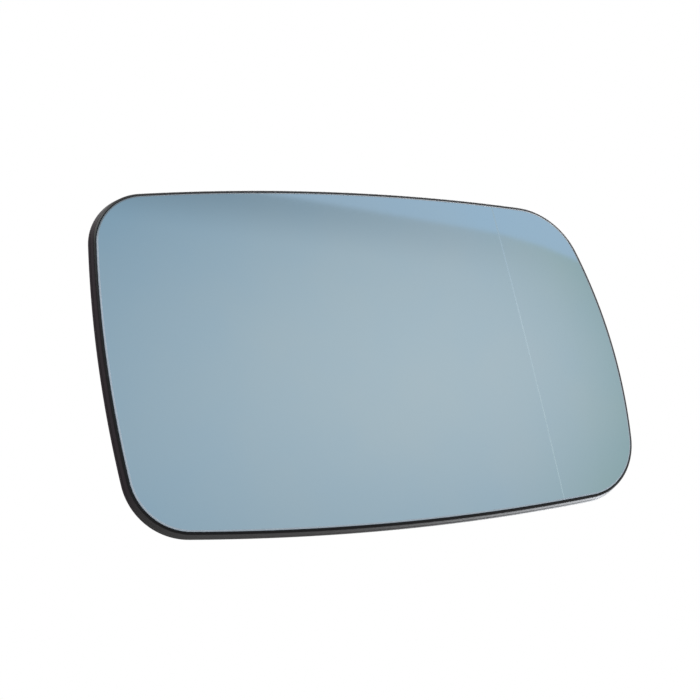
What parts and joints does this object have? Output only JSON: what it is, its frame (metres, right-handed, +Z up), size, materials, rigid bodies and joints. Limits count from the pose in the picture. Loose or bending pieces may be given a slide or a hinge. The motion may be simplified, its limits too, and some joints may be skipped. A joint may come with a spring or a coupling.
{
  "type": "car door mirror glass",
  "caption": "Convex blue-tinted door mirror glass with an aspheric outer zone, bonded with its heater film to a rimmed backing plate with a round clip-on motor socket.",
  "frame": {"origin": "centre of the motor socket's mouth, on the socket's axis", "axes": "+Z up as fitted on the car, +X away from the car, +Y out of the socket's mouth; the glass faces -Y"},
  "size_m": [0.1662, 0.0162, 0.1032],
  "materials": {
    "tinted_mirror": "polished float glass, blue-tinted, coated",
    "heater_foil": "amber polyester film with printed tracks",
    "black_plastic": "injection moulded, fine grain",
    "spring_wire": "drawn spring steel",
    "tinned_brass": "stamped, tin plated",
    "rivet_brass": "bright"
  },
  "bodies": {
    "root": {"mirror_glass": "tinted_mirror", "heater_film": "heater_foil", "backing_plate": "black_plastic", "retaining_ring": "spring_wire", "terminal_upper": "tinned_brass", "terminal_lower": "tinned_brass", "terminal_rivets": "rivet_brass"}
  },
  "joints": []
}
